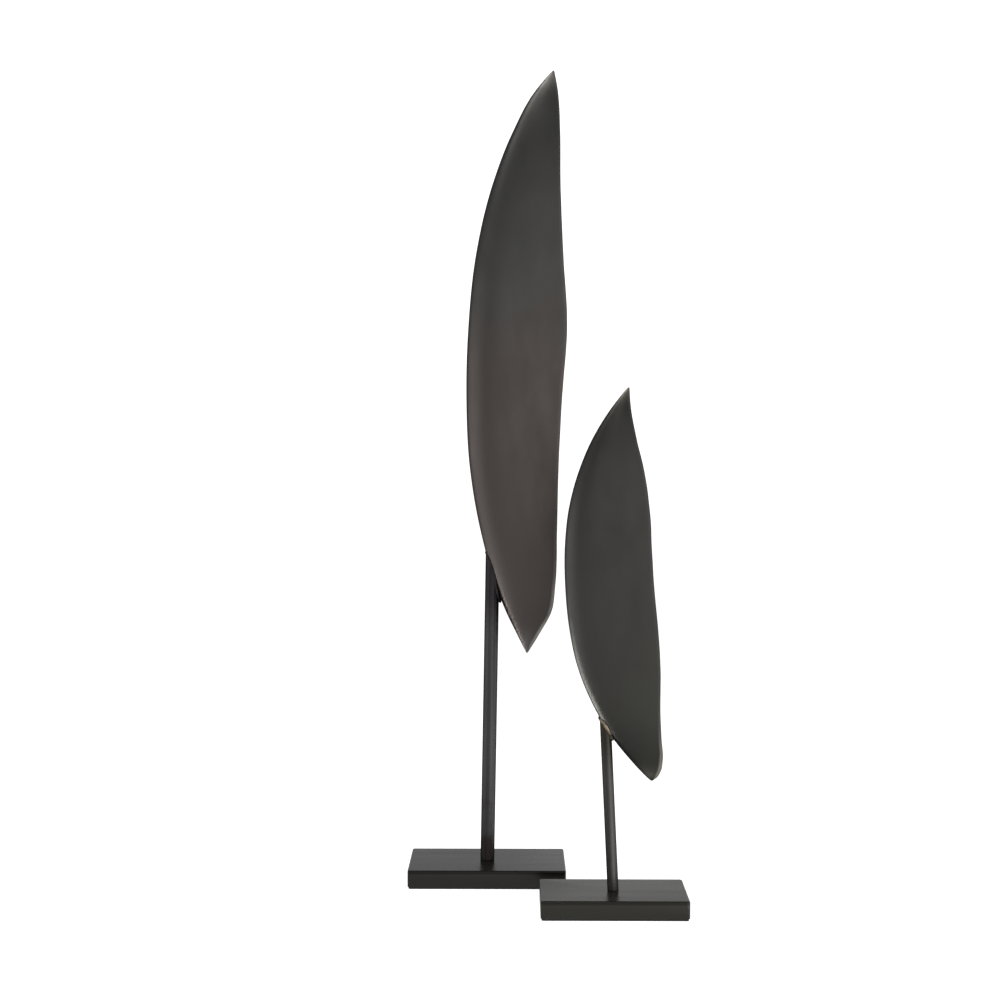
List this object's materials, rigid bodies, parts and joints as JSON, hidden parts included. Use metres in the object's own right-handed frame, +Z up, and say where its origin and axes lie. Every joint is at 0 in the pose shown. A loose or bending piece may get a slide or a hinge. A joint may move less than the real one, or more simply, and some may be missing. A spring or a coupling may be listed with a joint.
{
  "type": "leaf sculptures on stands",
  "caption": "Tall and short hollow metal leaf sculptures, each a curved pod open along a wavy rim, on a round stem and a flat rectangular base.",
  "frame": {"origin": "centre of the underside of the tall sculpture's felt, where it rests on the shelf", "axes": "+Z up, +X towards the leaves' open rims and along the bases' long edges, -Y towards the short sculpture, which is the usual front"},
  "size_m": [0.3045, 0.2185, 0.92],
  "materials": {
    "leaf_patina": "dark bronze patina on iron, satin, faintly mottled",
    "stem_patina": "dark bronze patina on iron, satin, drawn lengthwise",
    "base_patina": "dark bronze patina on iron plate, satin, fine grain along the length",
    "weld_bead": "dressed weld under the patina, slightly tan",
    "screw_steel": "zinc plated",
    "spring_steel": "oiled spring steel",
    "felt": "pressed black felt"
  },
  "bodies": {
    "tall_sculpture": {"tall_leaf_front_wall": "leaf_patina", "tall_leaf_back_wall": "leaf_patina", "tall_keel_weld": "weld_bead", "tall_stem": "stem_patina", "tall_stem_weld": "weld_bead", "tall_base_plate": "base_patina", "tall_base_screw": "screw_steel", "tall_flat_washer": "screw_steel", "tall_spring_washer": "spring_steel", "tall_felt_sheet": "felt"},
    "short_sculpture": {"short_leaf_front_wall": "leaf_patina", "short_leaf_back_wall": "leaf_patina", "short_keel_weld": "weld_bead", "short_stem": "stem_patina", "short_stem_weld": "weld_bead", "short_base_plate": "base_patina", "short_base_screw": "screw_steel", "short_flat_washer": "screw_steel", "short_spring_washer": "spring_steel", "short_felt_sheet": "felt"}
  },
  "joints": [
    {"name": "short_place", "type": "slide", "parent": "tall_sculpture", "child": "short_sculpture", "axis": [1, 0, 0], "range_m": [-0.15, 0.35]}
  ]
}
